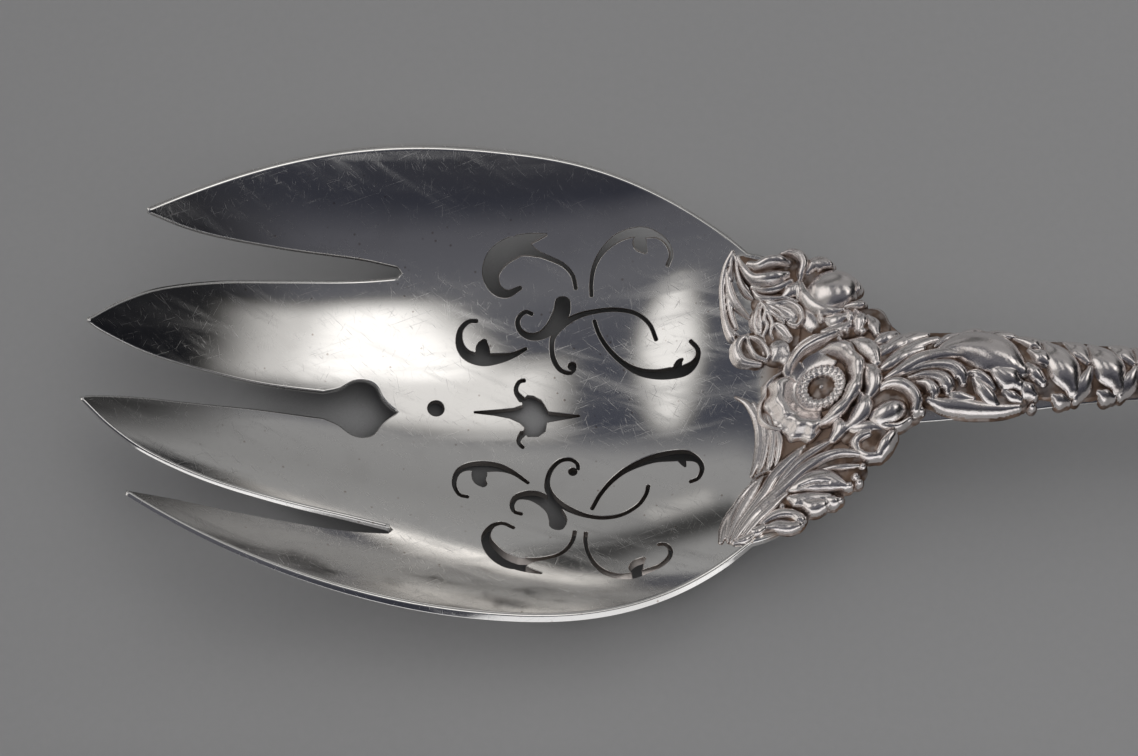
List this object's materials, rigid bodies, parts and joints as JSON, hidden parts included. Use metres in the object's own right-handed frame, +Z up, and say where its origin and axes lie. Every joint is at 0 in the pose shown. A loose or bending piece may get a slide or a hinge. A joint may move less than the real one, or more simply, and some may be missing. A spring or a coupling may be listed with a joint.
{
  "type": "salad serving fork",
  "caption": "Silver salad serving fork: a raised, pierced bowl with tines and scrollwork, a shoulder of applied flowers and leaves, and a slim plain-backed handle.",
  "frame": {"origin": "on the table plane, under the middle of the fork's bounding box", "axes": "+X from the tines to the handle's end, +Z up out of the bowl"},
  "size_m": [0.23, 0.0642, 0.0233],
  "materials": {
    "polished_silver": "mirror polish with fine scratches from use",
    "oxidised_silver": "bright on the high spots, brown tarnish left in the recesses"
  },
  "bodies": {
    "root": {"bowl": "polished_silver", "handle": "polished_silver", "flower_petals": "oxidised_silver", "flower_stamens": "oxidised_silver", "flower_eye": "oxidised_silver", "upper_bud": "oxidised_silver", "upper_bud_calyx": "oxidised_silver", "cup_bud": "oxidised_silver", "cup_flower": "oxidised_silver", "fluted_bud": "oxidised_silver", "leaf_fan": "oxidised_silver", "curled_leaf": "oxidised_silver", "shoulder_ribbon": "oxidised_silver", "lower_leaf": "oxidised_silver", "lower_leaf_tip": "oxidised_silver", "lower_stem_long": "oxidised_silver", "lower_stem_middle": "oxidised_silver", "lower_stem_short": "oxidised_silver", "neck_leaf": "oxidised_silver", "neck_side_leaf": "oxidised_silver", "wound_leaf_1": "oxidised_silver", "wound_leaf_2": "oxidised_silver", "wound_leaf_3": "oxidised_silver", "wound_leaf_4": "oxidised_silver", "wound_leaf_5": "oxidised_silver", "end_flower": "oxidised_silver", "end_leaf_upper": "oxidised_silver", "end_leaf_lower": "oxidised_silver"}
  },
  "joints": []
}
